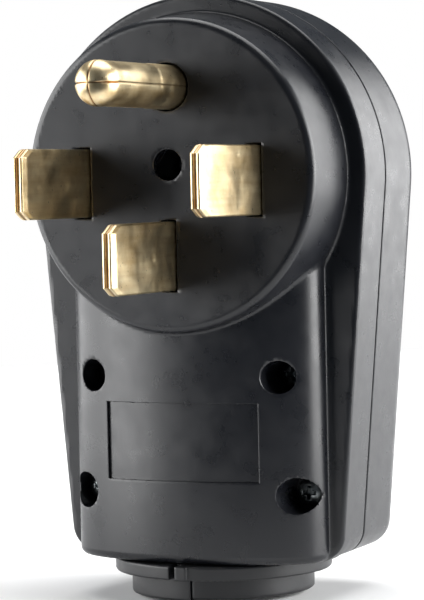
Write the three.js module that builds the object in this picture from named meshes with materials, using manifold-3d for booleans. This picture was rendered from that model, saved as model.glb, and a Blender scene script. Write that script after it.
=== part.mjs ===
// A 50 amp, four-prong rewirable plug for a caravan or motorhome supply lead: a front shell with a round
// face, four brass prongs on a contact carrier, a rear cover held by four screws, and a split cord gland.
// Millimetres. +X right and +Z up as seen from the prong side, -Y out of the plug face.
// The origin lies on the plug face, midway between the two hot blades.
import * as THREE from "three";
import { mergeVertices } from "three/addons/utils/BufferGeometryUtils.js";
import Module from "manifold-3d";

const wasm = await Module();
wasm.setup();

// ---------------------------------------------------------------- driving dimensions
const GAP = 0.3; // clearance between neighbouring pieces
const WALL = 2.6; // moulded wall of both shells
const OVER = 5; // how far a cutter runs past what it cuts

// Prongs
const HOT_SPACING = 33.3;
const NEUTRAL_Z = -13.1;
const GROUND_Z = 16.7;
const BLADE_WIDTH = 12.2;
const BLADE_THICK = 2.36;
const BLADE_LENGTH = 24.5;
const BLADE_TIP_THICK = 1.8;
const BLADE_TIP_TAPER = 1.3;
const BLADE_CORNER = { out: 2.5, side: 1.8 };
const PIN_RADIUS = 3.95;
const PIN_LENGTH = 30.0;

// Round plug face
const FACE_Z = 1.1; // centre of the round face, above the hot blades
const FACE_RADIUS = 27.9;
const FACE_ROUND = 1.2;
const FACE_FOOT_RADIUS = 29.3; // the side wall drafts out to this at the ledge
const FACE_WALL = 3.0;
const LEDGE_Y = 12.5;

// Body outline behind the ledge: an arc round the face, then sides that taper to the bottom
const BODY_RADIUS = 32.6;
const BODY_TAPER = THREE.MathUtils.degToRad(4.9);
const BODY_BOTTOM = -68.2;
const BODY_CORNER = 4.5;
const LEDGE_ROUND = 0.8;
const PARTING_Y = 22.5;
const PARTING_GAP = 0.4;
const BACK_Y = 42.5;
const BACK_ROUND = 8.0;
const BOTTOM_SHARE = 0.3; // along the bottom, the back edge is drawn in by this share only
const CORNER_SHARE = 0.35; // the bottom corners get rounder towards the back by this share

// Barrel: the bulged front below the round face
const BARREL_HALF = 24.5;
const BARREL_FRONT_Y = 2.0;
const BARREL_POWER = 2.2; // exponent of its superellipse section
const BARREL_TOP = -9.0;
const BARREL_ROUND = 1.6;
const PANEL = { half: 14.8, top: -39.4, bottom: -53.4, depth: 0.45 };

// Case screws: Phillips pan heads at the bottom of access holes in the barrel
const CASE_SCREW_AT = {
  upper_left: [-18.2, -34.8],
  upper_right: [18.2, -34.8],
  lower_left: [-20.8, -55.9],
  lower_right: [20.8, -55.9],
};
const POST_RADIUS = 4.2;
const ACCESS_RADIUS = 3.2;
const SEAT_Y = 14.5;
const SCREW_HEAD = { radius: 2.7, height: 2.2 };
const SCREW_SHANK = 1.3;
const SCREW_END_Y = 34.0;
const SHANK_HOLE = 1.6;

// Contact carrier behind the face wall, and the screw in the middle of the face
const CARRIER_RADIUS = 24.4;
const CARRIER_BACK = 11.5;
const BARRIER = { x: 8.3, thick: 1.5, bottom: -6.5, top: 19.5, back: 20.5 };
const CENTRE_Z = 3.0;
const CENTRE_HOLE = 2.75;
const CENTRE_BOSS = { radius: 4.6, back: 13.0, seat: 11.4 };
const CENTRE_HEAD = { radius: 2.35, height: 1.5 };
const CENTRE_SHANK = 1.3;
const CENTRE_END = 18.0;
const CENTRE_TOWER = { radius: 6.2, back: 19.4 };

// Box terminals on the rear ends of the prongs
const BOX = { half: 5.0, tall: 12.0, depth: 10.5, side: 1.5, floor: 1.5, roof: 2.0 };
const TERMINAL_SCREW = { radius: 2.5, length: 9.0, slot: 1.0, slotDepth: 1.4 };
const SCREW_CLEARANCE = 0.35;
const SADDLE = { thick: 1.3, tall: 10.5 };

// Cord gland: two halves caught in the mouth between the shells. Their seam lies just right of the middle.
const GLAND_Y = 20.8;
const SEAM_X = 1.0;
const GLAND_BORE = 12.4;
const GLAND_THROAT = 15.0;
const GLAND_INNER = { radius: 17.0, top: -61.4 };
const COLLAR = { radius: 20.0, bottom: -71.0 };
const SLEEVE = { radius: 17.0, bottom: -75.2 };
const MOUTH_WALL = 3.0;
const KEY = { x: 0.6, half: 1.1, notch: 2.5, proud: 0.5 };
const KEY_SINK = 0.5; // how far the key reaches into the sleeve's outside

// ---------------------------------------------------------------- materials
const metal = (color, roughness) => new THREE.MeshStandardMaterial({ color, roughness, metalness: 1 });
const plastic = (color, roughness) => new THREE.MeshStandardMaterial({ color, roughness, metalness: 0 });
const SHELL = plastic(0x2a2b2f, 0.45);
const GLAND = plastic(0x242529, 0.6);
const CARRIER = plastic(0x4a4238, 0.6);
const BRASS = metal(0xb8994a, 0.3);
const ZINC = metal(0x9a9da0, 0.35);
const DARK_STEEL = metal(0x53565a, 0.35);
const GREEN = metal(0x2f6b3c, 0.4);

// ---------------------------------------------------------------- solids
function solid(geometry) {
  geometry.deleteAttribute("normal");
  geometry.deleteAttribute("uv");
  const merged = mergeVertices(geometry, 1e-4);
  return new wasm.Manifold(
    new wasm.Mesh({
      numProp: 3,
      vertProperties: new Float32Array(merged.attributes.position.array),
      triVerts: new Uint32Array(merged.index.array),
    }),
  );
}

function meshOf(name, made, material) {
  const data = made.getMesh();
  const geometry = new THREE.BufferGeometry();
  geometry.setAttribute("position", new THREE.BufferAttribute(data.vertProperties, 3));
  geometry.setIndex(new THREE.BufferAttribute(data.triVerts, 1));
  geometry.computeVertexNormals();
  const mesh = new THREE.Mesh(geometry, material);
  mesh.name = name;
  return mesh;
}

const join = (first, ...rest) => rest.reduce((all, one) => all.add(one), first);
const cut = (first, ...rest) => rest.reduce((all, one) => all.subtract(one), first);

function block([x0, x1], [y0, y1], [z0, z1]) {
  const box = new THREE.BoxGeometry(x1 - x0, y1 - y0, z1 - z0);
  return solid(box.translate((x0 + x1) / 2, (y0 + y1) / 2, (z0 + z1) / 2));
}

// A rod along Y from y0 to y1, centred on (x, z).
function rodY(radius, y0, y1, x, z, sides = 32) {
  const rod = new THREE.CylinderGeometry(radius, radius, y1 - y0, sides);
  return solid(rod.translate(x, (y0 + y1) / 2, z));
}

// A rod along Z from z0 to z1, centred on (x, y).
function rodZ(radius, z0, z1, x, y, sides = 56) {
  const rod = new THREE.CylinderGeometry(radius, radius, z1 - z0, sides);
  return solid(rod.rotateX(Math.PI / 2).translate(x, y, (z0 + z1) / 2));
}

// Closed outlines in X and Z, all with the same number of points, joined in order of rising y.
function loftXZ(layers) {
  const count = layers[0].outline.length;
  const positions = layers.flatMap(({ outline, y }) => outline.flatMap((point) => [point.x, y, point.y]));
  const last = (layers.length - 1) * count;
  const faces = [];
  for (let layer = 0; layer + 1 < layers.length; layer++) {
    for (let i = 0; i < count; i++) {
      const here = layer * count + i;
      const next = layer * count + ((i + 1) % count);
      faces.push(here, next + count, next, here, here + count, next + count);
    }
  }
  for (const [a, b, c] of THREE.ShapeUtils.triangulateShape(layers[0].outline, [])) faces.push(a, b, c);
  for (const [a, b, c] of THREE.ShapeUtils.triangulateShape(layers.at(-1).outline, [])) {
    faces.push(last + a, last + c, last + b);
  }
  const geometry = new THREE.BufferGeometry();
  geometry.setAttribute("position", new THREE.Float32BufferAttribute(positions, 3));
  geometry.setIndex(faces);
  return solid(geometry);
}

// The body outline, drawn in by inset, from y0 to y1. One end is rounded off: the back one, or the front one.
function bodyPlate(inset, y0, y1, round = 0, end = "back", steps = 8) {
  const back = end === "back";
  const layers = [{ outline: bodyOutline(inset), y: back ? y0 : y1 }];
  const sign = back ? 1 : -1;
  const start = back ? y1 - round : y0 + round;
  for (let i = 0; i <= (round ? steps : 0); i++) {
    const angle = (Math.PI / 2) * (i / steps);
    const drawn = round * (1 - Math.cos(angle));
    const corner = BODY_CORNER - inset / 2 + drawn * CORNER_SHARE;
    const outline = bodyOutline(inset + drawn, inset + drawn * (back ? BOTTOM_SHARE : 1), corner);
    layers.push({ outline, y: start + sign * round * Math.sin(angle) });
  }
  return loftXZ(back ? layers : layers.reverse());
}

// An outline in X and Y, given height from z0 to z1, with both ends rounded off by round.
function columnXY(outline, z0, z1, round = 0, steps = 3) {
  const shaped = new THREE.ExtrudeGeometry(new THREE.Shape(outline), {
    depth: z1 - z0 - 2 * round,
    bevelEnabled: round > 0,
    bevelThickness: round,
    bevelSize: round,
    bevelOffset: -round,
    bevelSegments: steps,
  });
  return solid(shaped.translate(0, 0, z0 + round));
}

// A profile of [radius, y] points turned about a Y axis through (x, z).
function turnedY(profile, x, z, sides = 72) {
  const points = profile.map(([radius, y]) => new THREE.Vector2(radius, y));
  return solid(new THREE.LatheGeometry(points, sides).translate(x, 0, z));
}

// A profile of [radius, z] points turned about a Z axis through (x, y).
function turnedZ(profile, x, y, sides = 64) {
  const points = profile.map(([radius, z]) => new THREE.Vector2(radius, z));
  return solid(new THREE.LatheGeometry(points, sides).rotateX(Math.PI / 2).translate(x, y, 0));
}

function arc(x, y, radius, from, to, steps) {
  const points = [];
  for (let i = 0; i <= steps; i++) {
    const angle = from + ((to - from) * i) / steps;
    points.push(new THREE.Vector2(x + radius * Math.cos(angle), y + radius * Math.sin(angle)));
  }
  return points;
}

// ---------------------------------------------------------------- outlines
// The body's outline in X and Z, drawn in by inset, and along the bottom by bottomInset.
function bodyOutline(inset, bottomInset = inset, corner = BODY_CORNER - inset / 2) {
  const radius = BODY_RADIUS - inset;
  const cornerZ = BODY_BOTTOM + bottomInset + corner;
  const reach = radius - corner - Math.sin(BODY_TAPER) * (FACE_Z - cornerZ);
  const cornerX = reach / Math.cos(BODY_TAPER);
  return [
    ...arc(0, FACE_Z, radius, -BODY_TAPER, Math.PI + BODY_TAPER, 48),
    ...arc(-cornerX, cornerZ, corner, Math.PI + BODY_TAPER, 1.5 * Math.PI, 6),
    ...arc(cornerX, cornerZ, corner, -0.5 * Math.PI, -BODY_TAPER, 6),
  ];
}

// The barrel's section in X and Y, drawn in by inset, and closed at backY.
function barrelSection(inset, backY) {
  const steps = 32;
  const across = BARREL_HALF - inset;
  const forward = LEDGE_Y - BARREL_FRONT_Y - inset;
  const bulge = (value) => Math.sign(value) * Math.abs(value) ** (2 / BARREL_POWER);
  const points = [];
  for (let i = 0; i <= steps; i++) {
    const angle = (Math.PI * i) / steps;
    const x = -across * bulge(Math.cos(angle));
    points.push(new THREE.Vector2(x, LEDGE_Y - forward * bulge(Math.sin(angle))));
  }
  points.push(new THREE.Vector2(across, backY), new THREE.Vector2(-across, backY));
  return points;
}

// ---------------------------------------------------------------- shells
function faceDisc() {
  const middle = FACE_RADIUS - FACE_ROUND;
  const edge = arc(middle, FACE_ROUND, FACE_ROUND, -Math.PI / 2, 0, 4).map((p) => [p.x, p.y]);
  const back = LEDGE_Y + 1;
  const side = [FACE_FOOT_RADIUS, LEDGE_Y];
  return turnedY([[0, 0], ...edge, side, [FACE_FOOT_RADIUS, back], [0, back]], 0, FACE_Z);
}

// The cord mouth through the bottom wall, and the chamber above it that holds the gland's inner flange.
function mouth() {
  const floor = BODY_BOTTOM + MOUTH_WALL;
  return join(
    rodZ(GLAND_THROAT + GAP, BODY_BOTTOM - OVER, floor + 1, 0, GLAND_Y),
    rodZ(GLAND_INNER.radius + GAP, floor, GLAND_INNER.top + GAP, 0, GLAND_Y),
  );
}

function frontShell() {
  const front = PARTING_Y - PARTING_GAP / 2;
  const rim = bodyPlate(0, LEDGE_Y, front, LEDGE_ROUND, "front", 3);
  const barrel = columnXY(barrelSection(0, LEDGE_Y + 4), BODY_BOTTOM, BARREL_TOP, BARREL_ROUND);
  const outer = join(faceDisc(), rim, barrel);

  const floor = BODY_BOTTOM + MOUTH_WALL;
  const hollow = join(
    rodY(FACE_RADIUS - WALL, FACE_WALL, front + OVER, 0, FACE_Z, 64),
    bodyPlate(WALL, LEDGE_Y + WALL, front + OVER),
    columnXY(barrelSection(WALL, front + OVER), floor, 0),
  );
  const posts = Object.values(CASE_SCREW_AT).map(([x, z]) => rodY(POST_RADIUS, BARREL_FRONT_Y, front, x, z));
  const centreBoss = rodY(CENTRE_BOSS.radius, FACE_WALL / 2, CENTRE_BOSS.back, 0, CENTRE_Z);
  const shell = join(cut(outer, hollow), ...posts.map((post) => post.intersect(outer)), centreBoss);

  const panelFloor = columnXY(barrelSection(PANEL.depth, LEDGE_Y + 4), BODY_BOTTOM, BARREL_TOP);
  const panelBlock = block([-PANEL.half, PANEL.half], [-OVER, LEDGE_Y], [PANEL.bottom, PANEL.top]);
  const screwWays = Object.values(CASE_SCREW_AT).flatMap(([x, z]) => [
    rodY(ACCESS_RADIUS, -OVER, SEAT_Y, x, z),
    rodY(SHANK_HOLE, SEAT_Y - 1, front + OVER, x, z, 20),
  ]);
  return cut(
    shell,
    cut(panelBlock, panelFloor),
    ...screwWays,
    ...bladeSlots(),
    rodY(PIN_RADIUS + GAP, -OVER, FACE_WALL + OVER, 0, GROUND_Z),
    rodY(CENTRE_HOLE, -OVER, CENTRE_BOSS.seat, 0, CENTRE_Z),
    rodY(CENTRE_SHANK + GAP, 0, CENTRE_BOSS.back + OVER, 0, CENTRE_Z, 20),
    mouth(),
  );
}

function rearCover() {
  const back = PARTING_Y + PARTING_GAP / 2;
  const outer = bodyPlate(0, back, BACK_Y, BACK_ROUND);
  const hollow = bodyPlate(WALL, back - OVER, BACK_Y - WALL, BACK_ROUND - WALL);
  const bosses = Object.values(CASE_SCREW_AT).map(([x, z]) => rodY(POST_RADIUS, back, BACK_Y, x, z));
  const shell = join(cut(outer, hollow), ...bosses.map((boss) => boss.intersect(outer)));
  const holes = Object.values(CASE_SCREW_AT).map(([x, z]) =>
    rodY(SHANK_HOLE, back - OVER, SCREW_END_Y + 1, x, z, 20),
  );
  return cut(shell, ...holes, mouth());
}

// ---------------------------------------------------------------- prongs and terminals
const HOT_X = HOT_SPACING / 2;
const BOX_FRONT = CARRIER_BACK + GAP;
const BOX_BACK = BOX_FRONT + BOX.depth;
const ROOF_FRONT = BOX_BACK - BOX.roof;
const BLADES_AT = { hot_blade_left: [-HOT_X, 0], hot_blade_right: [HOT_X, 0], neutral_blade: [0, NEUTRAL_Z] };
const TERMINALS_AT = {
  hot_left: [-HOT_X, 0],
  hot_right: [HOT_X, 0],
  neutral: [0, NEUTRAL_Z],
  ground: [0, GROUND_Z],
};

function bladeSlots() {
  const x = BLADE_THICK / 2 + GAP;
  const z = BLADE_WIDTH / 2 + GAP;
  return Object.values(BLADES_AT).map(([px, pz]) =>
    block([px - x, px + x], [-OVER, CARRIER_BACK + OVER], [pz - z, pz + z]),
  );
}

function boxTerminal(x, z) {
  const inner = BOX.half - BOX.side;
  const reach = BOX.tall / 2;
  const box = block([x - BOX.half, x + BOX.half], [BOX_FRONT, BOX_BACK], [z - reach, z + reach]);
  const tunnel = block(
    [x - inner, x + inner],
    [BOX_FRONT + BOX.floor, ROOF_FRONT],
    [z - reach - OVER, z + reach + OVER],
  );
  const screwHole = rodY(TERMINAL_SCREW.radius + SCREW_CLEARANCE, ROOF_FRONT - 1, BOX_BACK + OVER, x, z, 24);
  return cut(box, tunnel, screwHole);
}

// A flat blade: bevelled towards its tip on both sides, with its two tip corners cut off.
function blade(x, z) {
  const half = BLADE_THICK / 2;
  const tip = BLADE_TIP_THICK / 2;
  const foot = BOX_FRONT + BOX.floor / 2;
  const side = [
    new THREE.Vector2(x - half, foot),
    new THREE.Vector2(x - half, BLADE_TIP_TAPER - BLADE_LENGTH),
    new THREE.Vector2(x - tip, -BLADE_LENGTH),
    new THREE.Vector2(x + tip, -BLADE_LENGTH),
    new THREE.Vector2(x + half, BLADE_TIP_TAPER - BLADE_LENGTH),
    new THREE.Vector2(x + half, foot),
  ];
  const edge = BLADE_WIDTH / 2;
  const outline = [
    new THREE.Vector2(z - edge, foot),
    new THREE.Vector2(z - edge, BLADE_CORNER.out - BLADE_LENGTH),
    new THREE.Vector2(z - edge + BLADE_CORNER.side, -BLADE_LENGTH),
    new THREE.Vector2(z + edge - BLADE_CORNER.side, -BLADE_LENGTH),
    new THREE.Vector2(z + edge, BLADE_CORNER.out - BLADE_LENGTH),
    new THREE.Vector2(z + edge, foot),
  ];
  const profile = columnXY(side, z - edge, z + edge);
  const extrusion = { depth: 2 * OVER, bevelEnabled: false };
  const turned = new THREE.ExtrudeGeometry(new THREE.Shape(outline), extrusion);
  turned.rotateY(-Math.PI / 2).translate(x + OVER, 0, 0);
  return join(profile.intersect(solid(turned)), boxTerminal(x, z));
}

function groundPin() {
  const shoulder = PIN_RADIUS - PIN_LENGTH;
  const dome = arc(0, shoulder, PIN_RADIUS, -Math.PI / 2, 0, 8).map((p) => [p.x, p.y]);
  const foot = BOX_FRONT + BOX.floor / 2;
  dome[0][0] = 0;
  const pin = turnedY([...dome, [PIN_RADIUS, foot], [0, foot]], 0, GROUND_Z, 36);
  return join(pin, boxTerminal(0, GROUND_Z));
}

// A plate that the terminal screw presses on the wire; it hangs in the top of the tunnel.
function saddle(x, z) {
  const half = BOX.half - BOX.side - GAP;
  const back = ROOF_FRONT - GAP;
  return block([x - half, x + half], [back - SADDLE.thick, back], [z - SADDLE.tall / 2, z + SADDLE.tall / 2]);
}

function terminalScrew(x, z) {
  const start = ROOF_FRONT;
  const end = start + TERMINAL_SCREW.length;
  const screw = rodY(TERMINAL_SCREW.radius, start, end, x, z, 24);
  const slot = block(
    [x - OVER, x + OVER],
    [end - TERMINAL_SCREW.slotDepth, end + 1],
    [z - TERMINAL_SCREW.slot / 2, z + TERMINAL_SCREW.slot / 2],
  );
  return cut(screw, slot);
}

// ---------------------------------------------------------------- carrier
function contactCarrier() {
  const front = FACE_WALL + GAP;
  const disc = rodY(CARRIER_RADIUS, front, CARRIER_BACK, 0, FACE_Z, 64);
  const barriers = [-1, 1].map((side) => {
    const x = side * BARRIER.x;
    const thick = BARRIER.thick / 2;
    return block([x - thick, x + thick], [CARRIER_BACK - 1, BARRIER.back], [BARRIER.bottom, BARRIER.top]);
  });
  const tower = rodY(CENTRE_TOWER.radius, CARRIER_BACK - 1, CENTRE_TOWER.back, 0, CENTRE_Z, 28);
  return cut(
    join(disc, ...barriers, tower),
    ...bladeSlots(),
    rodY(PIN_RADIUS + GAP, 0, CARRIER_BACK + OVER, 0, GROUND_Z),
    rodY(CENTRE_BOSS.radius + GAP, 0, CENTRE_BOSS.back + GAP, 0, CENTRE_Z),
    rodY(CENTRE_SHANK + GAP, CENTRE_BOSS.back, CENTRE_END + 2 * GAP, 0, CENTRE_Z, 20),
  );
}

// ---------------------------------------------------------------- screws
function crossRecess(x, y, z, reach, width, depth) {
  return [
    block([x - reach, x + reach], [y - 1, y + depth], [z - width / 2, z + width / 2]),
    block([x - width / 2, x + width / 2], [y - 1, y + depth], [z - reach, z + reach]),
  ];
}

// A pan-head screw along Y, its head towards -Y and seated at seatY.
// The head's profile is in shares of its radius and height.
function panScrew(x, z, head, shank, seatY, endY) {
  const top = seatY - GAP - head.height;
  const under = seatY - GAP;
  const profile = [
    [0, top],
    [head.radius * 0.55, top + head.height * 0.06],
    [head.radius * 0.88, top + head.height * 0.3],
    [head.radius, top + head.height * 0.65],
    [head.radius, under],
    [shank, under],
    [shank, endY - shank],
    [0, endY],
  ];
  const body = turnedY(profile, x, z, 28);
  return cut(body, ...crossRecess(x, top, z, head.radius * 0.6, head.radius * 0.28, head.height * 0.55));
}

const caseScrew = (x, z) => panScrew(x, z, SCREW_HEAD, SCREW_SHANK, SEAT_Y, SCREW_END_Y);
const carrierScrew = () => panScrew(0, CENTRE_Z, CENTRE_HEAD, CENTRE_SHANK, CENTRE_BOSS.seat, CENTRE_END);

// ---------------------------------------------------------------- cord gland
function glandRing() {
  const neckTop = BODY_BOTTOM + MOUTH_WALL + GAP;
  return turnedZ(
    [
      [GLAND_BORE, SLEEVE.bottom],
      [SLEEVE.radius, SLEEVE.bottom],
      [SLEEVE.radius, COLLAR.bottom],
      [COLLAR.radius, COLLAR.bottom],
      [COLLAR.radius, BODY_BOTTOM - GAP],
      [GLAND_THROAT, BODY_BOTTOM - GAP],
      [GLAND_THROAT, neckTop],
      [GLAND_INNER.radius, neckTop],
      [GLAND_INNER.radius, GLAND_INNER.top],
      [GLAND_BORE, GLAND_INNER.top],
      [GLAND_BORE, SLEEVE.bottom],
    ],
    0,
    GLAND_Y,
  );
}

// side is -1 for the left half and 1 for the right half, which carries the key at the front.
function glandHalf(side) {
  const reach = 2 * COLLAR.radius + OVER;
  const span = side < 0 ? [-reach, SEAM_X - GAP / 2] : [SEAM_X + GAP / 2, reach];
  const tall = [SLEEVE.bottom - OVER, GLAND_INNER.top + OVER];
  const half = glandRing().intersect(block(span, [-OVER, reach], tall));
  const front = GLAND_Y - COLLAR.radius - KEY.proud;
  const inner = GLAND_Y - SLEEVE.radius + KEY_SINK;
  const top = BODY_BOTTOM - GAP;
  if (side < 0) {
    return cut(half, block([KEY.x - KEY.notch, reach], [-OVER, inner], [COLLAR.bottom, top + GAP]));
  }
  return join(half, block([KEY.x - KEY.half, KEY.x + KEY.half], [front, inner - GAP], [COLLAR.bottom, top]));
}

// ---------------------------------------------------------------- assembly
const plug = new THREE.Group();
plug.add(
  meshOf("front_shell", frontShell(), SHELL),
  meshOf("rear_cover", rearCover(), SHELL),
  meshOf("contact_carrier", contactCarrier(), CARRIER),
  meshOf("ground_pin", groundPin(), BRASS),
  meshOf("gland_half_left", glandHalf(-1), GLAND),
  meshOf("gland_half_right", glandHalf(1), GLAND),
  meshOf("carrier_screw", carrierScrew(), DARK_STEEL),
);
for (const [name, [x, z]] of Object.entries(BLADES_AT)) {
  plug.add(meshOf(name, blade(x, z), BRASS));
}
for (const [name, [x, z]] of Object.entries(TERMINALS_AT)) {
  plug.add(meshOf(`terminal_saddle_${name}`, saddle(x, z), ZINC));
  plug.add(meshOf(`terminal_screw_${name}`, terminalScrew(x, z), name === "ground" ? GREEN : ZINC));
}
for (const [name, [x, z]] of Object.entries(CASE_SCREW_AT)) {
  plug.add(meshOf(`case_screw_${name}`, caseScrew(x, z), DARK_STEEL));
}

export default plug;
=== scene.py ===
"""Four-prong caravan plug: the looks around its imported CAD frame.

The CAD nodes give places and sizes. The shells, gland, carrier, box terminals, saddles and screws are
distance fields in millimetres, meshed by dual contouring, so that their edges have real fillets. The prongs
are swept grids of points.
"""

import math

import bpy
import numpy as np
from mathutils import Matrix, Vector


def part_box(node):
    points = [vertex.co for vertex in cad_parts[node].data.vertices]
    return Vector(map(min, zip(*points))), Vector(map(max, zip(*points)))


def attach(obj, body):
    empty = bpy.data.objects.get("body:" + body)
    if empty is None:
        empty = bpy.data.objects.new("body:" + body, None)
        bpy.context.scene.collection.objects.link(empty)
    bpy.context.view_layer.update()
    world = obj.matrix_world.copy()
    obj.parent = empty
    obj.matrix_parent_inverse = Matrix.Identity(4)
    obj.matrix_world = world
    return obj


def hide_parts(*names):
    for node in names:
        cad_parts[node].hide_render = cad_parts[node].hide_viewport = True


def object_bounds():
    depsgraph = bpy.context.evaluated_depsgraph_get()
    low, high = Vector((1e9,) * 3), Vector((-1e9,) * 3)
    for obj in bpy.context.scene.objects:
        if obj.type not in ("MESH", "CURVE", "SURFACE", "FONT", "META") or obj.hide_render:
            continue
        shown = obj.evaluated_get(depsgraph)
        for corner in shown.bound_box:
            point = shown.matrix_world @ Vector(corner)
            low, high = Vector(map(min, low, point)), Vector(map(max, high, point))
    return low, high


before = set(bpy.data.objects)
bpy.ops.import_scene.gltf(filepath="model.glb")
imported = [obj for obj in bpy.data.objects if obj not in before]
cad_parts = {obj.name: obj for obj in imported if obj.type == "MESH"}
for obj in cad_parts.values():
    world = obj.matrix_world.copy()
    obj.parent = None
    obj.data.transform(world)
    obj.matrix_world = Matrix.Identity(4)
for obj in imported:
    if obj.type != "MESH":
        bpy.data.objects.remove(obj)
cad_low, cad_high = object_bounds()
MM = 0.001

# ------------------------------------------------------------------ sizes, in millimetres
# The blades' corner cuts and the access holes differ from the CAD source's by under 0.4 mm.
GAP = 0.3
WALL = 2.6
HOT_X = 16.65
NEUTRAL_Z = -13.1
GROUND_Z = 16.7
BLADE_WIDTH = 12.2
BLADE_THICK = 2.36
BLADE_LENGTH = 24.5
BLADE_CUT_OUT = 2.5
BLADE_CUT_SIDE = 1.5
PIN_RADIUS = 3.95
PIN_LENGTH = 30.0
FACE_Z = 1.1
FACE_RADIUS = 27.9
FACE_ROUND = 1.2
FACE_FOOT_RADIUS = 29.3
FACE_WALL = 3.0
LEDGE_Y = 12.5
BODY_RADIUS = 32.6
BODY_TAPER = math.radians(4.9)
BODY_BOTTOM = -68.2
BODY_CORNER = 4.5
LEDGE_ROUND = 0.8
PARTING_Y = 22.5
PARTING_GAP = 0.4
BACK_Y = 42.5
BACK_ROUND = 8.0
BARREL_HALF = 24.5
BARREL_FRONT_Y = 2.0
BARREL_POWER = 2.2
BARREL_TOP = -9.0
BARREL_ROUND = 1.6
PANEL_HALF = 14.8
PANEL_Z = (-53.4, -39.4)
PANEL_DEPTH = 0.45
CASE_SCREWS = {
    "upper_left": (-18.2, -34.8),
    "upper_right": (18.2, -34.8),
    "lower_left": (-20.8, -55.9),
    "lower_right": (20.8, -55.9),
}
POST_RADIUS = 4.2
UPPER_ACCESS = (2.9, 0.3)  # radius of an upper access hole, and of its lip
LOWER_ACCESS = (3.25, 0.12)
SEAT_Y = 14.5
SHANK_HOLE = 1.6
SCREW_END_Y = 34.0
CENTRE_Z = 3.0
CENTRE_HOLE = 2.75
CENTRE_BOSS_RADIUS = 4.6
CENTRE_BOSS_BACK = 13.0
CENTRE_SEAT_Y = 11.4
CENTRE_END_Y = 18.0
CENTRE_TOWER_RADIUS = 6.2
CENTRE_TOWER_BACK = 19.4
CENTRE_SHANK_HOLE = 1.6
MOUTH_WALL = 3.0
MOUTH_RADIUS = 15.3
CHAMBER_RADIUS = 17.3
CHAMBER_TOP = -61.1
GLAND_Y = 20.8
SEAM_X = 1.0
KEY_X = 0.6
KEY_HALF = 1.1
SLEEVE_RADIUS = 17.0
SLEEVE_BOTTOM = -75.2
COLLAR_RADIUS = 20.0
COLLAR_Z = (-71.0, -68.5)
THROAT_RADIUS = 15.0
GLAND_BORE = 12.4
CARRIER_RADIUS = 24.4
CARRIER_BACK = 11.5
BARRIER_X = 8.3
BARRIER_Z = (-6.5, 19.5)
BARRIER_BACK = 20.5
BOX_Y = (11.8, 22.3)
PRONG_FOOT = 12.4  # how far back a prong runs, into its box terminal
SET_SCREW_RADIUS = 2.5
SET_SCREW_Y = (20.3, 29.3)
SET_SCREW_SLOT = 1.4
SADDLE_Y = (18.7, 20.0)
HEAD_RADIUS = 2.7
HEAD_HEIGHT = 2.2
SHANK_RADIUS = 1.3

# Fillets and rounded edges
SHELL_EDGE = 0.25
OUTER_FILLET = 0.6
INNER_FILLET = 0.8
POST_FILLET = 0.5
PANEL_EDGE = 0.12
SLOT_EDGE = 0.2
HOLE_EDGE = 0.3


# ------------------------------------------------------------------ distance fields
def join_round(a, b, r):
    """Union of two fields, with a fillet of radius r where they meet."""
    u, v = np.maximum(r - a, 0), np.maximum(r - b, 0)
    return np.maximum(r, np.minimum(a, b)) - np.sqrt(u * u + v * v)


def common_round(a, b, r):
    """Intersection of two fields, with its edge rounded to radius r."""
    u, v = np.maximum(r + a, 0), np.maximum(r + b, 0)
    return np.minimum(-r, np.maximum(a, b)) + np.sqrt(u * u + v * v)


def cut_round(a, b, r):
    return common_round(a, -b, r)


def rod(a, b, radius, centre):
    return np.hypot(a - centre[0], b - centre[1]) - radius


def slab(value, low, high):
    return np.abs(value - (low + high) / 2) - (high - low) / 2


def box2(a, b, a_range, b_range):
    return np.maximum(slab(a, *a_range), slab(b, *b_range))


def body_outline(x, z, inset=0.0, bottom=None, corner=BODY_CORNER):
    """The body's outline: an arc round the face, sides that taper below it, and a flat bottom."""
    bottom = inset if bottom is None else bottom
    across, up = np.abs(x), z - FACE_Z
    sine, cosine = math.sin(BODY_TAPER), math.cos(BODY_TAPER)
    arc = np.hypot(across, up)
    side = across * cosine - up * sine
    below = -across * sine - up * cosine > 0
    ring = np.where(below, side, arc) - (BODY_RADIUS - inset)
    return common_round(ring, BODY_BOTTOM + bottom - z, corner)


def barrel_outline(x, y, inset=0.0):
    """The barrel's superellipse section, open to the back."""
    a, b = BARREL_HALF - inset, LEDGE_Y - BARREL_FRONT_Y - inset
    u = np.maximum(np.abs(x) / a, 1e-4)
    v = np.maximum(LEDGE_Y - y, 0) / b
    total = u**BARREL_POWER + v**BARREL_POWER
    value = total ** (1 / BARREL_POWER) - 1
    scale = total ** (1 / BARREL_POWER - 1)
    grade = scale * np.hypot(u ** (BARREL_POWER - 1) / a, v ** (BARREL_POWER - 1) / b)
    return value / np.maximum(grade, 0.5 / a)


def mouth_field(x, y, z):
    throat = np.maximum(rod(x, y, MOUTH_RADIUS, (0, GLAND_Y)), z - CHAMBER_TOP)
    chamber = np.maximum(
        rod(x, y, CHAMBER_RADIUS, (0, GLAND_Y)), slab(z, BODY_BOTTOM + MOUTH_WALL, CHAMBER_TOP)
    )
    return np.minimum(throat, chamber)


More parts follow.
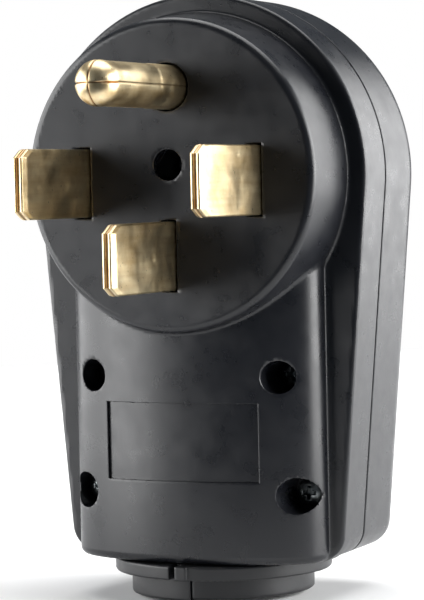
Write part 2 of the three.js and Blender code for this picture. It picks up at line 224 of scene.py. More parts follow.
def front_shell_field(x, y, z):
    front = PARTING_Y - PARTING_GAP / 2
    q = np.hypot(x, z - FACE_Z)
    draft = (FACE_FOOT_RADIUS - FACE_RADIUS) / (LEDGE_Y - FACE_ROUND)
    disc_side = (q - FACE_RADIUS - draft * (y - FACE_ROUND)) * math.cos(math.atan(draft))
    disc = np.maximum(common_round(disc_side, -y, FACE_ROUND), y - LEDGE_Y - 1)
    rim = common_round(body_outline(x, z), LEDGE_Y - y, LEDGE_ROUND)
    rim = common_round(rim, y - front, SHELL_EDGE)
    section = barrel_outline(x, y)
    barrel = common_round(section, BODY_BOTTOM - z, BARREL_ROUND)
    barrel = np.maximum(np.maximum(barrel, z - BARREL_TOP), y - LEDGE_Y - 4)
    outer = join_round(join_round(rim, barrel, OUTER_FILLET), disc, OUTER_FILLET)

    well = np.maximum(q - (FACE_RADIUS - WALL), FACE_WALL - y)
    wide = np.maximum(body_outline(x, z, WALL, corner=BODY_CORNER - WALL / 2), LEDGE_Y + WALL - y)
    trough = np.maximum(barrel_outline(x, y, WALL), BODY_BOTTOM + MOUTH_WALL - z)
    trough = np.maximum(trough, z)
    hollow = join_round(join_round(well, wide, INNER_FILLET), trough, INNER_FILLET)
    shell = cut_round(outer, hollow, SHELL_EDGE)
    for px, pz in CASE_SCREWS.values():
        post = np.maximum(rod(x, z, POST_RADIUS, (px, pz)), y - front)
        shell = join_round(shell, np.maximum(post, outer), POST_FILLET)
    boss = np.maximum(rod(x, z, CENTRE_BOSS_RADIUS, (0, CENTRE_Z)), y - CENTRE_BOSS_BACK)
    shell = np.maximum(join_round(shell, np.maximum(boss, 1 - y), POST_FILLET), outer)

    panel = np.maximum(box2(x, z, (-PANEL_HALF, PANEL_HALF), PANEL_Z), -(section + PANEL_DEPTH))
    shell = cut_round(shell, np.maximum(panel, y - LEDGE_Y), PANEL_EDGE)
    for px, pz in CASE_SCREWS.values():
        radius, lip = UPPER_ACCESS if pz > PANEL_Z[0] else LOWER_ACCESS
        way = np.maximum(rod(x, z, radius, (px, pz)), y - SEAT_Y)
        shell = cut_round(shell, way, lip)
        shell = np.maximum(shell, -rod(x, z, SHANK_HOLE, (px, pz)))
    slot_x, slot_z = BLADE_THICK / 2 + GAP, BLADE_WIDTH / 2 + GAP
    for px, pz in ((-HOT_X, 0), (HOT_X, 0), (0, NEUTRAL_Z)):
        slot = box2(x, z, (px - slot_x, px + slot_x), (pz - slot_z, pz + slot_z))
        shell = cut_round(shell, np.maximum(slot, y - FACE_WALL - 1), SLOT_EDGE)
    pin_hole = np.maximum(rod(x, z, PIN_RADIUS + GAP, (0, GROUND_Z)), y - FACE_WALL - 1)
    shell = cut_round(shell, pin_hole, HOLE_EDGE)
    centre_hole = np.maximum(rod(x, z, CENTRE_HOLE, (0, CENTRE_Z)), y - CENTRE_SEAT_Y)
    shell = cut_round(shell, centre_hole, HOLE_EDGE)
    shell = np.maximum(shell, -rod(x, z, CENTRE_SHANK_HOLE, (0, CENTRE_Z)))
    return cut_round(shell, mouth_field(x, y, z), HOLE_EDGE)


def rear_cover_field(x, y, z):
    start = PARTING_Y + PARTING_GAP / 2
    open_below = -40.0
    bottom_round, inner_bottom_round = 4.5, 2.5
    across = body_outline(x, z, 0.0, open_below, BODY_CORNER)
    floor = BODY_BOTTOM - z
    outer = common_round(across, y - BACK_Y, BACK_ROUND)
    outer = common_round(outer, floor, bottom_round)
    inner_across = body_outline(x, z, WALL, open_below, BODY_CORNER)
    hollow = common_round(inner_across, y - (BACK_Y - WALL), BACK_ROUND - WALL)
    hollow = common_round(hollow, floor + MOUTH_WALL, inner_bottom_round)
    shell = cut_round(common_round(outer, start - y, SHELL_EDGE), hollow, SHELL_EDGE)
    for px, pz in CASE_SCREWS.values():
        boss = np.maximum(rod(x, z, POST_RADIUS, (px, pz)), start - y)
        shell = join_round(shell, np.maximum(boss, outer), POST_FILLET)
    shell = np.maximum(shell, outer)
    for px, pz in CASE_SCREWS.values():
        hole = np.maximum(rod(x, z, SHANK_HOLE, (px, pz)), y - SCREW_END_Y - 1)
        shell = np.maximum(shell, -hole)
    return cut_round(shell, mouth_field(x, y, z), HOLE_EDGE)


# ------------------------------------------------------------------ dual contouring
def gradient(field, points, step=0.02):
    grad = np.empty_like(points)
    for axis in range(3):
        offset = np.zeros(3)
        offset[axis] = step
        ahead, behind = points + offset, points - offset
        grad[:, axis] = field(*ahead.T) - field(*behind.T)
    length = np.linalg.norm(grad, axis=1, keepdims=True)
    return grad / np.maximum(length, 1e-9)


def crossing_points(field, axes, values, inside, axis):
    """Grid edges along one axis that the surface crosses: their lower nodes, and the crossing points."""
    low = [slice(None)] * 3
    high = [slice(None)] * 3
    low[axis], high[axis] = slice(None, -1), slice(1, None)
    nodes = np.argwhere(inside[tuple(low)] != inside[tuple(high)])
    ends = nodes.copy()
    ends[:, axis] += 1
    a = np.stack([axes[k][nodes[:, k]] for k in range(3)], 1)
    b = np.stack([axes[k][ends[:, k]] for k in range(3)], 1)
    fa, fb = values[tuple(nodes.T)], values[tuple(ends.T)]
    for _ in range(4):
        share = np.clip(fa / np.where(np.abs(fa - fb) < 1e-9, 1e-9, fa - fb), 0.02, 0.98)
        middle = a + (b - a) * share[:, None]
        fm = field(*middle.T)
        same = np.sign(fm) == np.sign(fa)
        a, fa = np.where(same[:, None], middle, a), np.where(same, fm, fa)
        b, fb = np.where(same[:, None], b, middle), np.where(same, fb, fm)
    best = np.where((np.abs(fa) < np.abs(fb))[:, None], a, b)
    return nodes, best


def grid_lines(low, high, step, fine):
    """Grid lines from low to high, step apart. The fine spans, each (low, high, step), have closer lines."""
    lines = [low]
    while lines[-1] < high:
        steps = [span_step for start, end, span_step in fine if start <= lines[-1] < end]
        lines.append(lines[-1] + min(steps + [step]))
    return np.array(lines)


def contour(field, low, high, step, fine=((), (), ())):
    """Vertices and quads of the field's zero surface. Each vertex is the best fit to its cell's tangents."""
    axes = [grid_lines(low[k], high[k], step, fine[k]) for k in range(3)]
    grid = np.meshgrid(*axes, indexing="ij")
    values = field(*grid)
    inside = values < 0
    cells = [len(a) - 1 for a in axes]
    stride = np.array([cells[1] * cells[2], cells[2], 1])
    crossings = [crossing_points(field, axes, values, inside, axis) for axis in range(3)]
    keys, points, quads = [], [], []
    for axis, (nodes, best) in enumerate(crossings):
        b, c = (axis + 1) % 3, (axis + 2) % 3
        inner = np.all((nodes[:, [b, c]] > 0) & (nodes[:, [b, c]] < np.array([cells[b], cells[c]])), 1)
        nodes, best = nodes[inner], best[inner]
        corners = []
        for db, dc in ((1, 1), (0, 1), (0, 0), (1, 0)):
            cell = nodes.copy()
            cell[:, b] -= db
            cell[:, c] -= dc
            corners.append(cell @ stride)
        ring = np.stack(corners, 1)
        flip = inside[tuple(nodes.T)]
        quads.append(np.where(flip[:, None], ring, ring[:, ::-1]))
        keys.append(ring.ravel())
        points.append(np.repeat(best, 4, axis=0))
    keys, points = np.concatenate(keys), np.concatenate(points)
    normals = gradient(field, points)
    ids, where = np.unique(keys, return_inverse=True)
    where = where.reshape(-1)
    count = np.bincount(where).astype(float)
    mass = np.stack([np.bincount(where, points[:, k]) / count for k in range(3)], 1)
    pull = 0.08
    matrix = np.zeros((len(ids), 3, 3)) + np.eye(3) * pull
    right = np.zeros((len(ids), 3))
    distance = np.einsum("ij,ij->i", normals, points - mass[where])
    for i in range(3):
        right[:, i] = np.bincount(where, normals[:, i] * distance)
        for j in range(3):
            matrix[:, i, j] += np.bincount(where, normals[:, i] * normals[:, j])
    shift = np.linalg.solve(matrix, right[..., None])[..., 0]
    cell = np.unravel_index(ids, cells)
    start = np.stack([axes[k][cell[k]] for k in range(3)], 1)
    end = np.stack([axes[k][cell[k] + 1] for k in range(3)], 1)
    margin = 0.02 * (end - start)
    faces = np.searchsorted(ids, np.concatenate(quads))
    return np.clip(mass + shift, start + margin, end - margin), faces


def smooth_mesh(name, vertices, faces, angle=32):
    """A mesh from millimetre points, shaded smooth except across edges sharper than angle degrees."""
    mesh = bpy.data.meshes.new(name)
    mesh.from_pydata((np.asarray(vertices) * MM).tolist(), [], [list(map(int, f)) for f in faces])
    mesh.shade_smooth()
    mesh.set_sharp_from_angle(angle=math.radians(angle))
    return mesh


def contoured_mesh(name, field, vertices, faces):
    """A contoured surface whose shading follows the field's slope just inside each face's corners."""
    mesh = bpy.data.meshes.new(name)
    mesh.from_pydata((vertices * MM).tolist(), [], faces.tolist())
    mesh.shade_smooth()
    corners = vertices[faces]
    centre = corners.mean(axis=1, keepdims=True)
    flat = np.cross(corners[:, 2] - corners[:, 0], corners[:, 3] - corners[:, 1])
    flat /= np.maximum(np.linalg.norm(flat, axis=1, keepdims=True), 1e-9)
    flat = np.repeat(flat, 4, axis=0)
    normals = gradient(field, (corners * 0.7 + centre * 0.3).reshape(-1, 3), 0.04)
    astray = np.einsum("ij,ij->i", normals, flat) < 0.5
    normals[astray] = flat[astray]
    mesh.normals_split_custom_set(normals.tolist())
    return mesh


def add_piece(name, mesh, body, material, nodes=()):
    piece = bpy.data.objects.new(name, mesh)
    bpy.context.scene.collection.objects.link(piece)
    mesh.materials.clear()
    mesh.materials.append(material)
    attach(piece, body)
    if nodes:
        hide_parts(*nodes)
    return piece


# ------------------------------------------------------------------ small solids as fields
def gland_field(side):
    """One half of the cord gland; side is -1 on the left and 1 on the right, which carries the key."""
    step = 0.0 if side < 0 else 0.3  # the right half's sleeve is smaller by this much
    sleeve_radius, sleeve_bottom = SLEEVE_RADIUS - step, SLEEVE_BOTTOM + step

    def field(x, y, z):
        q = np.hypot(x, y - GLAND_Y)
        sleeve = common_round(q - sleeve_radius, slab(z, sleeve_bottom, -69.5), 0.5)
        collar = common_round(q - COLLAR_RADIUS, slab(z, *COLLAR_Z), 0.4)
        throat = np.maximum(q - THROAT_RADIUS, slab(z, -70.0, -64.0))
        flange = common_round(q - 17.0, slab(z, -64.9, -61.4), 0.4)
        key_front, key_back = GLAND_Y - COLLAR_RADIUS - 0.5, GLAND_Y - 16.8
        key = common_round(slab(x, KEY_X - KEY_HALF, KEY_X + KEY_HALF), slab(y, key_front, key_back), 0.35)
        key = common_round(key, slab(z, *COLLAR_Z), 0.3)
        half = GAP / 2 - side * (x - SEAM_X)
        if side < 0:
            notch = np.maximum(KEY_X - 2.5 - x, slab(y, 0, GLAND_Y - 16.5))
            collar = cut_round(collar, notch, 0.25)
        body = join_round(join_round(sleeve, collar, 0.3), join_round(throat, flange, 0.3), 0.3)
        body = cut_round(body, q - GLAND_BORE, 0.6)
        body = common_round(body, half, 0.2)
        return join_round(body, key, 0.15) if side > 0 else body

    return field


def box_terminal_field(x0, z0):
    front, back = BOX_Y
    half_wide, half_tall, half_tunnel = 5, 6, 3.5

    def field(x, y, z):
        u, w = x - x0, z - z0
        body = common_round(np.abs(u) - half_wide, np.abs(w) - half_tall, 0.5)
        body = common_round(body, slab(y, front, back), 0.4)
        tunnel = common_round(np.abs(u) - half_tunnel, slab(y, front + 1.5, back - 2.0), 0.5)
        body = cut_round(body, tunnel, 0.3)
        hole = np.maximum(np.hypot(u, w) - 2.85, back - 3 - y)
        return cut_round(body, hole, 0.3)

    return field


def thread(q, y, x, z, radius, pitch, depth):
    """A screw shank's side: its radius falls and rises by depth once a pitch, along a helix."""
    turn = np.mod(y / pitch + np.arctan2(z, x) / (2 * math.pi), 1.0)
    return (q - radius + depth * np.abs(2 * turn - 1) * 1.2) * 0.8


def case_screw_field(x, y, z):
    """A pan-head Phillips screw on the Y axis, its seat at SEAT_Y."""
    q = np.hypot(x, z)
    under = SEAT_Y - GAP
    top = under - HEAD_HEIGHT
    dome = np.hypot(q, y - under - 1.6) - 3.85
    head = common_round(common_round(q - HEAD_RADIUS, dome, 0.3), y - under, 0.15)
    head = np.maximum(head, top - y)
    shank = np.maximum(thread(q, y, x, z, SHANK_RADIUS, 0.9, 0.28), y - SCREW_END_Y)
    tip = q - (SCREW_END_Y - y) * 0.8
    shank = np.maximum(np.maximum(shank, tip), under - 1 - y)
    plain = np.maximum(q - 1.1, slab(y, under - 1, under + 2))
    body = np.minimum(np.minimum(head, shank), plain)
    depth = y - top - 1.5
    wing = 0.3 - depth * 0.05
    reach = 1.4 - np.maximum(y - top, 0) * 0.55
    cross = np.minimum(
        np.maximum(np.abs(x) - wing, np.abs(z) - reach), np.maximum(np.abs(z) - wing, np.abs(x) - reach)
    )
    pit = np.maximum(q - (0.65 - np.maximum(y - top, 0) * 0.2), depth)
    return cut_round(body, np.minimum(np.maximum(cross, depth), pit), 0.1)


def carrier_screw_field(x, y, z):
    """A pan-head Phillips screw on the Y axis, its seat at CENTRE_SEAT_Y."""
    head_radius, head_height, wing, reach = 2.35, 1.5, 0.34, 1.35
    q = np.hypot(x, z)
    under = CENTRE_SEAT_Y - GAP
    head = common_round(q - head_radius, slab(y, under - head_height, under), 0.4)
    shank = thread(q, y, x, z, SHANK_RADIUS, 0.8, 0.25)
    shank = np.maximum(shank, slab(y, under - 0.5, CENTRE_END_Y))
    body = np.minimum(head, np.maximum(shank, q - (CENTRE_END_Y - y) * 0.9))
    arm = np.minimum(
        np.maximum(np.abs(x) - wing, np.abs(z) - reach), np.maximum(np.abs(z) - wing, np.abs(x) - reach)
    )
    return cut_round(body, np.maximum(arm, y - under + 0.5), 0.08)


def terminal_screw_field(x, y, z):
    """A slotted set screw on the Y axis, pressing towards -Y."""
    start, end = SET_SCREW_Y
    q = np.hypot(x, z)
    side = np.maximum(thread(q, y, x, z, SET_SCREW_RADIUS, 1.0, 0.35), slab(y, start, end))
    side = np.maximum(side, q - (end - y) - 2.0)
    side = np.maximum(side, q - (y - start) * 1.2 - 1.7)
    slot = np.maximum(np.abs(z) - 0.5, end - SET_SCREW_SLOT - y)
    return cut_round(side, slot, 0.1)


def saddle_field(x, y, z):
    """A pressure plate with two gripping grooves across its wire side."""
    body = common_round(slab(x, -3.2, 3.2), slab(z, -5.25, 5.25), 0.6)
    body = common_round(body, slab(y, *SADDLE_Y), 0.25)
    for offset in (-2.6, 0.0, 2.6):
        body = cut_round(body, np.hypot(y - 18.55, z - offset) - 0.5, 0.1)
    return body


def carrier_field(x, y, z):
    """The contact carrier: a disc with two barriers and a screw tower on its back."""
    foot, half_barrier = CARRIER_BACK - 1, 0.75
    q = np.hypot(x, z - FACE_Z)
    disc = common_round(q - CARRIER_RADIUS, slab(y, FACE_WALL + GAP, CARRIER_BACK), 0.5)
    for middle in (-BARRIER_X, BARRIER_X):
        wall = common_round(slab(x, middle - half_barrier, middle + half_barrier), slab(z, *BARRIER_Z), 0.3)
        disc = join_round(disc, common_round(wall, slab(y, foot, BARRIER_BACK), 0.3), OUTER_FILLET)
    tower = rod(x, z, CENTRE_TOWER_RADIUS, (0, CENTRE_Z))
    tower = common_round(tower, slab(y, foot, CENTRE_TOWER_BACK), 0.4)
    disc = join_round(disc, tower, OUTER_FILLET)
    slot_x, slot_z = BLADE_THICK / 2 + GAP, BLADE_WIDTH / 2 + GAP
    for px, pz in ((-HOT_X, 0), (HOT_X, 0), (0, NEUTRAL_Z)):
        disc = np.maximum(disc, -box2(x, z, (px - slot_x, px + slot_x), (pz - slot_z, pz + slot_z)))
    disc = np.maximum(disc, -rod(x, z, PIN_RADIUS + GAP, (0, GROUND_Z)))
    pocket = np.maximum(rod(x, z, CENTRE_BOSS_RADIUS + GAP, (0, CENTRE_Z)), y - CENTRE_BOSS_BACK - GAP)
    disc = np.maximum(disc, -pocket)
    screw_hole = np.maximum(rod(x, z, CENTRE_SHANK_HOLE, (0, CENTRE_Z)), y - CENTRE_END_Y - 2 * GAP)
    return np.maximum(disc, -screw_hole)


# ------------------------------------------------------------------ prongs
def grid_faces(rows, columns, wrap=True):
    faces = []
    for r in range(rows - 1):
        for c in range(columns if wrap else columns - 1):
            n = (c + 1) % columns
            faces.append((r * columns + c, r * columns + n, (r + 1) * columns + n, (r + 1) * columns + c))
    return faces


def blade_mesh(dents):
    """A folded blade about its own middle: two brass leaves with a groove between them at the tip.
    Its tip corners are cut. Returns vertices, faces, and the painted shade on each vertex, darkest deep in
    the groove."""
    edge, width, half = 0.35, BLADE_WIDTH / 2, BLADE_THICK / 2
    lip, nose, taper = 0.9, 0.3, 1.3
    flat = np.linspace(-(width - edge), width - edge, 61)
    turn = np.linspace(0, math.pi / 2, 6)[1:]
    rounded = [(width - edge + edge * math.sin(t), edge * (1 - math.cos(t))) for t in turn]
    sections = [(-z, drawn) for z, drawn in rounded[::-1]] + [(z, 0.0) for z in flat] + rounded
    bend = np.linspace(0, math.pi / 2, 6)
    outer = [(lip - nose + nose * math.sin(t), nose * (1 - math.cos(t))) for t in bend]
    outer += [(half - 0.05, taper - 0.15), (half, taper + 0.15)]
    outer += [(half, along) for along in np.linspace(taper + 0.6, BLADE_LENGTH + PRONG_FOOT, 60)]
    groove = [(0.0, 0.5), (0.16, 0.47), (0.24, 0.36), (0.28, 0.2), (0.33, 0.06), (0.42, 0.0)]
    side = groove + outer
    # Painted shade: values for the groove's points, highest deep in the groove, that darken the brass there.
    seam_shade = np.array([0.6] * 3 + [0.45, 0.2, 0.05] + [0.0] * len(outer))
    rows = []
    for z, drawn in sections:
        into_cut = max(0.0, (abs(z) - width + BLADE_CUT_SIDE) / BLADE_CUT_SIDE)
        tip = -BLADE_LENGTH + BLADE_CUT_OUT * into_cut + drawn
        right = []
        for across, along in side:
            narrowed = across - drawn * min(1.0, across / lip)
            right.append((max(narrowed, 0.0), min(tip + along, PRONG_FOOT)))
        rows.append([(a, y, z) for a, y in right] + [(-a, y, z) for a, y in right[:0:-1]])
    points = np.array(rows)
    for facing, y, z, radius, depth in dents:
        reach = np.hypot(points[..., 1] - y, points[..., 2] - z) / radius
        sides = np.sign(points[..., 0]) == facing
        points[..., 0] -= facing * np.where(sides, depth * np.exp(-(reach**2) * 2.5), 0)
    count = points.shape[1]
    faces = [face[::-1] for face in grid_faces(len(rows), count)]
    last = (len(rows) - 1) * count
    faces += [tuple(range(count)), tuple(last + i for i in reversed(range(count)))]
    seam_shading = np.concatenate([seam_shade, seam_shade[:0:-1]])
    return points.reshape(-1, 3), faces, np.tile(seam_shading, len(rows))


def pin_mesh():
    """The ground pin: rolled from sheet, with a seam along each side and a cross of seams on its dome.
    Returns vertices, faces, and the painted shade on each vertex, darker along the seams."""
    quarter = np.linspace(0, 1, 61)[:-1]
    eased = quarter - np.sin(4 * math.pi * quarter) / (4 * math.pi) * 0.85
    angles = np.concatenate([(eased + k) * math.pi / 2 for k in range(4)])
    around = len(angles)
    shoulder = PIN_RADIUS - PIN_LENGTH
    polar = np.linspace(0.03, math.pi / 2, 40)
    profile = [(PIN_RADIUS * math.sin(t), shoulder - PIN_RADIUS * math.cos(t)) for t in polar]
    profile += [(PIN_RADIUS, y) for y in np.linspace(shoulder + 0.3, PRONG_FOOT, 120)]
    seam_width = 0.17
    rows, seam_shadings = [], []
    for radius, y in profile:
        x, z = np.cos(angles), np.sin(angles)
        domed = np.clip((shoulder + 0.8 - y) / 1.5, 0, 1)
        level = np.exp(-((radius * z / seam_width) ** 2))
        upright = domed * np.exp(-((radius * x / seam_width) ** 2))
        seam = np.maximum((0.12 + 0.18 * domed) * level, 0.26 * upright)
        step_y = -9.5 + 2.2 * z**2
        worn = 0.09 * np.clip((step_y - y) / 0.3 + 0.5, 0, 1) * np.clip((y - shoulder) / 2, 0, 1)
        drawn = radius - np.minimum(seam, radius * 0.6) - worn
        rows.append(np.stack([drawn * x, np.full(around, y), drawn * z + GROUND_Z], 1))
        # Painted shade along the seams, strongest on the dome.
        seam_shadings.append(np.clip(np.maximum((0.35 + 0.65 * domed) * level, upright), 0, 1))
    faces = grid_faces(len(rows), around)
    points = list(np.concatenate(rows))
    points.append(np.array([0, -PIN_LENGTH + 0.25, GROUND_Z]))
    faces += [(len(points) - 1, (i + 1) % around, i) for i in range(around)]
    last = (len(rows) - 1) * around
    faces.append(tuple(last + i for i in range(around)))
    return np.array(points), faces, np.append(np.concatenate(seam_shadings), 1.0)


def brass_piece(node, prong, x0, z0, angle):
    """A prong with its box terminal as one piece. The painted seam shade is kept on the mesh for the
    material.
    """
    points, polygons, seam_shade = prong
    low, high = (x0 - 6.2, 10.6, z0 - 7.2), (x0 + 6.2, 23.5, z0 + 7.2)
    box_points, box_faces = contour(box_terminal_field(x0, z0), low, high, 0.5)
    faces = list(polygons) + (box_faces + len(points)).tolist()
    mesh = smooth_mesh(node, np.concatenate([points, box_points]), faces, angle)
    seam_shading = mesh.attributes.new("seam_shade", "FLOAT", "POINT")
    seam_shading.data.foreach_set("value", np.concatenate([seam_shade, np.zeros(len(box_points))]))
    return add_piece(node + "_brass", mesh, "front_body", brass, [node])


# ------------------------------------------------------------------ materials
def new_material(name, color, metallic, roughness, specular=0.5):
    material = bpy.data.materials.new(name)
    material.use_nodes = True
    shader = material.node_tree.nodes["Principled BSDF"]
    shader.inputs["Base Color"].default_value = (*color, 1)
    shader.inputs["Metallic"].default_value = metallic
    shader.inputs["Roughness"].default_value = roughness
    shader.inputs["Specular IOR Level"].default_value = specular
    return material, material.node_tree, shader


def noise(tree, scale, detail=3.0, stretch=(1, 1, 1), roughness=0.5):
    """A noise texture in object coordinates; scale counts features per metre."""
    place = tree.nodes.new("ShaderNodeTexCoord")
    mapping = tree.nodes.new("ShaderNodeMapping")
    mapping.inputs["Scale"].default_value = stretch
    texture = tree.nodes.new("ShaderNodeTexNoise")
    texture.inputs["Scale"].default_value = scale
    texture.inputs["Detail"].default_value = detail
    texture.inputs["Roughness"].default_value = roughness
    tree.links.new(place.outputs["Object"], mapping.inputs["Vector"])
    tree.links.new(mapping.outputs["Vector"], texture.inputs["Vector"])
    return texture.outputs["Fac"]


def spread(tree, value, low, high, to_low, to_high):
    node = tree.nodes.new("ShaderNodeMapRange")
    node.inputs["From Min"].default_value = low
    node.inputs["From Max"].default_value = high
    node.inputs["To Min"].default_value = to_low
    node.inputs["To Max"].default_value = to_high
    tree.links.new(value, node.inputs["Value"])
    return node.outputs["Result"]


def mixed(tree, factor, a, b):
    node = tree.nodes.new("ShaderNodeMix")
    node.data_type = "RGBA"
    for index, value in ((6, a), (7, b)):
        if isinstance(value, tuple):
            node.inputs[index].default_value = (*value, 1)
        else:
            tree.links.new(value, node.inputs[index])
    tree.links.new(factor, node.inputs[0])
    return node.outputs[2]


def add_bump(tree, shader, height, strength, distance):
    bump = tree.nodes.new("ShaderNodeBump")
    bump.inputs["Strength"].default_value = strength
    bump.inputs["Distance"].default_value = distance
    tree.links.new(height, bump.inputs["Height"])
    tree.links.new(bump.outputs["Normal"], shader.inputs["Normal"])


def moulded_plastic(name, color, roughness, grain=0.12):
    """Moulded plastic with a fine spark-eroded grain and slightly uneven sheen."""
    material, tree, shader = new_material(name, color, 0.0, roughness)
    cloud = noise(tree, 60, 4)
    light = tuple(c * 1.3 + 0.002 for c in color)
    shade = spread(tree, cloud, 0.3, 0.7, 0, 1)
    tree.links.new(mixed(tree, shade, color, light), shader.inputs["Base Color"])
    sheen = spread(tree, noise(tree, 260, 5), 0.3, 0.7, roughness - 0.05, roughness + 0.06)
    tree.links.new(sheen, shader.inputs["Roughness"])
    add_bump(tree, shader, noise(tree, 5200, 2), grain, 0.00012)
    return material


def worn_brass(name):
    """Handled brass: a brown film, fine streaks along the prong, dark specks, and painted shade in the seams
    and the blades' groove.
    """
    material, tree, shader = new_material(name, (0.79, 0.62, 0.36), 1.0, 0.3)
    streak = noise(tree, 900, 4, (1, 0.08, 1))
    base = mixed(tree, spread(tree, streak, 0.35, 0.7, 0, 1), (0.9, 0.76, 0.49), (0.74, 0.57, 0.32))
    film = spread(tree, noise(tree, 130, 4, roughness=0.6), 0.42, 0.7, 0, 0.7)
    color = mixed(tree, film, base, (0.44, 0.29, 0.12))
    speck = spread(tree, noise(tree, 1500, 2), 0.7, 0.75, 0, 0.7)
    color = mixed(tree, speck, color, (0.16, 0.11, 0.05))
    # Painted shade: a dark brown mixed in by the mesh's per-vertex shade values, in the seams and the
    # blades' groove.
    seam_shade = tree.nodes.new("ShaderNodeAttribute")
    seam_shade.attribute_name = "seam_shade"
    color = mixed(tree, seam_shade.outputs["Fac"], color, (0.2, 0.085, 0.025))
    tree.links.new(color, shader.inputs["Base Color"])
    rough = spread(tree, noise(tree, 240, 4), 0.3, 0.75, 0.28, 0.43)
    tree.links.new(rough, shader.inputs["Roughness"])
    add_bump(tree, shader, streak, 0.2, 0.00005)
    return material


def plated_steel(name, light, dark):
    material, tree, shader = new_material(name, light, 1.0, 0.32)
    cloud = spread(tree, noise(tree, 700, 4), 0.35, 0.7, 0, 1)
    tree.links.new(mixed(tree, cloud, light, dark), shader.inputs["Base Color"])
    tree.links.new(spread(tree, noise(tree, 1500, 3), 0.3, 0.7, 0.24, 0.42), shader.inputs["Roughness"])
    add_bump(tree, shader, noise(tree, 2600, 3), 0.12, 0.00004)
    return material


shell_plastic = moulded_plastic("shell_plastic", (0.006, 0.0067, 0.009), 0.3)
gland_plastic = moulded_plastic("gland_plastic", (0.008, 0.0085, 0.01), 0.4)
carrier_plastic = moulded_plastic("carrier_plastic", (0.1, 0.075, 0.055), 0.5)
brass = worn_brass("brass")
zinc = plated_steel("zinc", (0.62, 0.64, 0.65), (0.42, 0.44, 0.47))
# Screw steel darker than the plain zinc: painted shade for the case screw heads and the centre screw head,
# which sit deep in their holes.
dark_steel = plated_steel("dark_steel", (0.32, 0.35, 0.35), (0.14, 0.15, 0.16))
green_zinc = plated_steel("green_zinc", (0.1, 0.33, 0.16), (0.05, 0.2, 0.1))


# ------------------------------------------------------------------ pieces
def bounds_mm(node, margin=1.2):
    low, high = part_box(node)
    return np.array(low) / MM - margin, np.array(high) / MM + margin


def moulded(node, field, step, body, material, fine=((), (), ())):
    low, high = bounds_mm(node)
    vertices, faces = contour(field, low, high, step, fine)
    mesh = contoured_mesh(node, field, vertices, faces)
    return add_piece(node + "_body", mesh, body, material, [node])


# Closer grid lines in X, Y and Z, where the panel, the rims, the parting line and the lower holes lie.
front_fine = (
    ((-24.6, -23.2, 0.3), (-15.4, -14.3, 0.3), (14.2, 15.3, 0.3), (23.2, 24.6, 0.3)),
    ((-1.5, 4.0, 0.35), (8.8, 10.6, 0.35), (11.8, 13.4, 0.35), (21.7, 22.9, 0.3)),
    ((-57.4, -54.4, 0.35), (-54.0, -52.9, 0.3), (-40.0, -38.9, 0.3)),
)
moulded("front_shell", front_shell_field, 0.62, "front_body", shell_plastic, front_fine)
rear_fine = ((), ((21.7, 23.3, 0.3),), ())
moulded("rear_cover", rear_cover_field, 0.6, "rear_cover", shell_plastic, rear_fine)
moulded("contact_carrier", carrier_field, 0.7, "front_body", carrier_plastic)
moulded("gland_half_left", gland_field(-1), 0.4, "front_body", gland_plastic)
moulded("gland_half_right", gland_field(1), 0.4, "front_body", gland_plastic)

# Each blade's dents: which side, y, z from the blade's middle, radius and depth.
BLADES = {
    "hot_blade_left": (-HOT_X, 0.0, [(1, -9.0, -0.3, 0.8, 0.2), (1, -12.6, 2.6, 0.5, 0.08)]),
    "hot_blade_right": (HOT_X, 0.0, [(1, -9.5, 4.4, 0.35, 0.15), (1, -9.5, -4.6, 0.35, 0.15)]),
    "neutral_blade": (0.0, NEUTRAL_Z, [(1, -9.0, -0.4, 0.8, 0.2), (1, -9.6, -4.4, 0.4, 0.15)]),
}
for name, (x0, z0, dents) in BLADES.items():
    points, polygons, seam_shade = blade_mesh(dents)
    brass_piece(name, (points + np.array([x0, 0, z0]), polygons, seam_shade), x0, z0, 35)
brass_piece("ground_pin", pin_mesh(), 0, GROUND_Z, 60)


def turned_pieces(prefix, field, shape, places):
    """Copies of a small piece shaped on the Y axis, each put at its place in X and Z."""
    vertices, faces = shape
    for node, (place, body, slot, material) in places.items():
        mesh = contoured_mesh(node, field, vertices, faces)
        mesh.transform(Matrix.Translation((place[0] * MM, 0, place[1] * MM)))
        add_piece(prefix + node, mesh, body, material, [node])


TERMINALS = {
    "hot_left": (-HOT_X, 0),
    "hot_right": (HOT_X, 0),
    "neutral": (0, NEUTRAL_Z),
    "ground": (0, GROUND_Z),
}
case_screws, set_screws, saddles = {}, {}, {}
for name, place in CASE_SCREWS.items():
    case_screws["case_screw_" + name] = (place, "case_screw_" + name, "dark_steel", dark_steel)
for name, place in TERMINALS.items():
    finish = ("green_zinc", green_zinc) if name == "ground" else ("zinc", zinc)
    set_screws["terminal_screw_" + name] = (place, "screw_" + name, *finish)
    saddles["terminal_saddle_" + name] = (place, "saddle_" + name, "zinc", zinc)
case_screw = contour(case_screw_field, (-3.4, 10.9, -3.4), (3.4, 35.0, 3.4), 0.2)
turned_pieces("threaded_", case_screw_field, case_screw, case_screws)
carrier_screw = contour(carrier_screw_field, (-3.0, 8.8, -3.0), (3.0, 19.0, 3.0), 0.2)
centre = {"carrier_screw": ((0, CENTRE_Z), "front_body", "dark_steel", dark_steel)}
turned_pieces("threaded_", carrier_screw_field, carrier_screw, centre)
set_screw = contour(terminal_screw_field, (-3.3, 19.4, -3.3), (3.3, 30.2, 3.3), 0.24)
turned_pieces("threaded_", terminal_screw_field, set_screw, set_screws)
plate = contour(saddle_field, (-4.0, 17.8, -6.1), (4.0, 20.9, 6.1), 0.3)
turned_pieces("grooved_", saddle_field, plate, saddles)


# ------------------------------------------------------------------ stage
def add_light(name, place, target, size, power):
    data = bpy.data.lights.new(name, "AREA")
    data.shape = "RECTANGLE"
    data.size, data.size_y = size
    data.energy = power
    light = bpy.data.objects.new(name, data)
    light.location = place
    aim = Vector(target) - Vector(place)
    light.rotation_euler = aim.to_track_quat("-Z", "Y").to_euler()
    light.visible_camera = False
    bpy.context.scene.collection.objects.link(light)


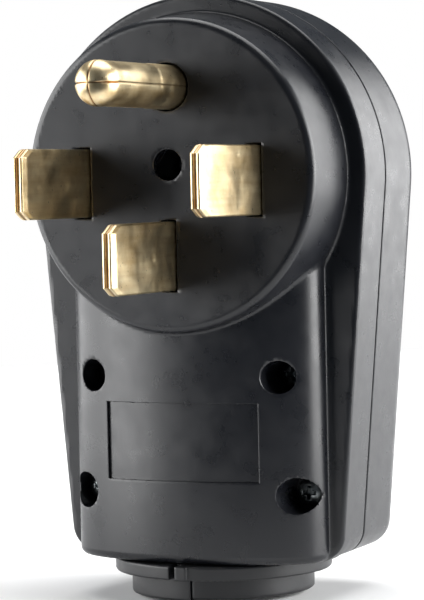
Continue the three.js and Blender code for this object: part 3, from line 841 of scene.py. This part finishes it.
floor_z = cad_low.z - 0.0005
floor_mesh = bpy.data.meshes.new("floor")
floor_sides, floor_reach, floor_back = 96, 0.4, 0.3
turns = [2 * math.pi * i / floor_sides for i in range(floor_sides)]
rim = [(floor_reach * math.cos(t), floor_reach * math.sin(t) + floor_back, floor_z) for t in turns]
floor_mesh.from_pydata(rim, [], [tuple(range(floor_sides))])
floor = bpy.data.objects.new("floor", floor_mesh)
bpy.context.scene.collection.objects.link(floor)
pale_floor = new_material("pale_floor", (0.9, 0.9, 0.9), 0.0, 0.9, 0.1)[0]
floor_mesh.materials.append(pale_floor)


def add_world(seen, ambient):
    """A white room as the camera sees it, which lights the object only dimly."""
    world = bpy.data.worlds.new("studio")
    bpy.context.scene.world = world
    world.use_nodes = True
    tree = world.node_tree
    background = tree.nodes["Background"]
    path = tree.nodes.new("ShaderNodeLightPath")
    tint = mixed(tree, path.outputs["Is Camera Ray"], (0.75, 0.87, 1.0), (1.0, 1.0, 1.0))
    tree.links.new(tint, background.inputs["Color"])
    strength = spread(tree, path.outputs["Is Camera Ray"], 0, 1, ambient, seen)
    tree.links.new(strength, background.inputs["Strength"])


add_world(1.0, 0.08)
middle = (0, 0.01, -0.02)
add_light("front_left_box", (-0.84, -0.84, 0.1), middle, (0.5, 0.9), 9.0)
add_light("left_box", (-1.0, -0.15, 0.1), middle, (1.1, 1.0), 15.0)
add_light("right_box", (0.98, 0.3, 0.1), middle, (0.9, 1.0), 27.0)
add_light("back_box", (0.55, 0.95, 0.1), middle, (0.7, 1.0), 9.0)
add_light("top_box", (0.0, 0.5, 1.7), middle, (2.0, 1.6), 36.0)


def add_camera():
    """The photograph's viewpoint: 24.5 degrees round to the right, slightly above, with a little roll."""
    azimuth, elevation, roll = (math.radians(v) for v in (24.5, 2.6, 1.2))
    distance, aside, above = 0.450, 0.0074, -0.0221
    back = Vector((
        math.sin(azimuth) * math.cos(elevation),
        -math.cos(azimuth) * math.cos(elevation),
        math.sin(elevation),
    ))
    right = Vector((math.cos(azimuth), math.sin(azimuth), 0))
    up = back.cross(right)
    across = right * math.cos(roll) - up * math.sin(roll)
    upright = right * math.sin(roll) + up * math.cos(roll)
    data = bpy.data.cameras.new("camera")
    data.sensor_width = 36
    data.lens = 153
    camera = bpy.data.objects.new("camera", data)
    camera.location = back * distance + right * aside + up * above + Vector((0, 0, FACE_Z * MM))
    rotation = camera.rotation_euler.to_matrix()
    for row in range(3):
        rotation[row][0], rotation[row][1], rotation[row][2] = across[row], upright[row], back[row]
    camera.rotation_euler = rotation.to_euler()
    bpy.context.scene.collection.objects.link(camera)
    bpy.context.scene.camera = camera


add_camera()
bpy.context.scene.view_settings.view_transform = "Standard"
